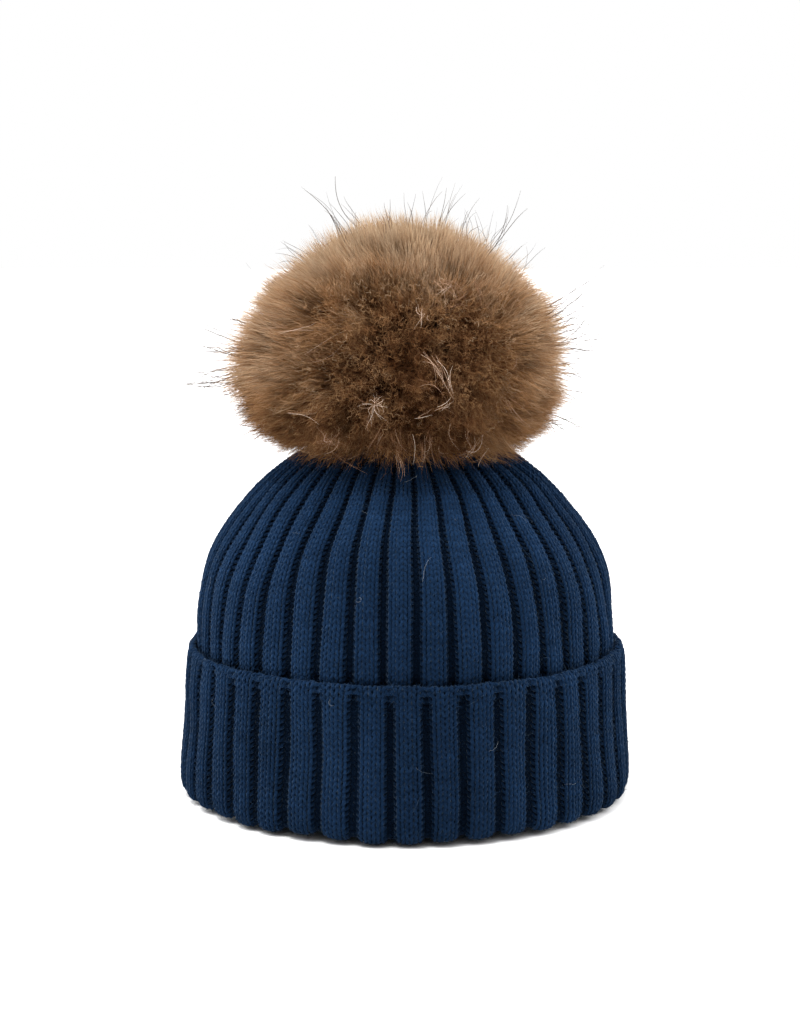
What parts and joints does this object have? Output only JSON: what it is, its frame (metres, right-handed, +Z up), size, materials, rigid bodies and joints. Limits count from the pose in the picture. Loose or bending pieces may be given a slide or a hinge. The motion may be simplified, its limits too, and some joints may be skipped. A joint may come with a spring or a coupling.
{
  "type": "pom pom beanie",
  "caption": "Wide-rib knitted winter beanie with a turned-up cuff and a round fur pompom that snaps on to the crown and lifts off.",
  "frame": {"origin": "on the hat's axis, in the plane that the folded edge of the cuff rests on", "axes": "+Z up to the pompom, -Y towards the front of the hat, +Y towards the back seam"},
  "size_m": [0.1912, 0.1912, 0.2395],
  "materials": {
    "navy_knit": "brushed wool-blend rib knit, matt with a short halo",
    "navy_thread": "matt twisted yarn",
    "navy_felt": "matt pressed felt",
    "long_hair": "long soft raccoon-type hair, camel underfur with dark-tipped guard hairs",
    "pelt_leather": "dull suede skin side",
    "wadding": "white loose polyester wadding",
    "brown_thread": "waxed thread",
    "snap_nickel": "nickel plated, satin",
    "spring_wire": "bright spring wire",
    "label_ribbon": "satin ribbon, blank"
  },
  "bodies": {
    "cuff": {"turned_cuff": "navy_knit"},
    "hat": {"knit_crown": "navy_knit", "back_seam": "navy_thread", "crown_gather_thread": "navy_thread", "crown_patch": "navy_felt", "care_label": "label_ribbon", "hat_snap_stud": "snap_nickel", "hat_snap_thread": "navy_thread"},
    "snap_ring": {"snap_spring": "spring_wire"},
    "pompom": {"pom_snap_socket": "snap_nickel", "pom_snap_thread": "brown_thread", "pelt_skin": "pelt_leather", "pelt_drawstring": "brown_thread", "stuffing_ball": "wadding", "fur_coat": "long_hair"}
  },
  "joints": [
    {"name": "cuff_unfold", "type": "slide", "parent": "cuff", "child": "hat", "axis": [0, 0, 1], "range_m": [0, 0.056]},
    {"name": "pom_lift", "type": "slide", "parent": "hat", "child": "snap_ring", "axis": [0, 0, 1], "range_m": [0, 0.06]},
    {"name": "pom_spin", "type": "hinge", "parent": "snap_ring", "child": "pompom", "pos_m": [0, 0, 0.1546], "axis": [0, 0, 1], "continuous": true}
  ]
}
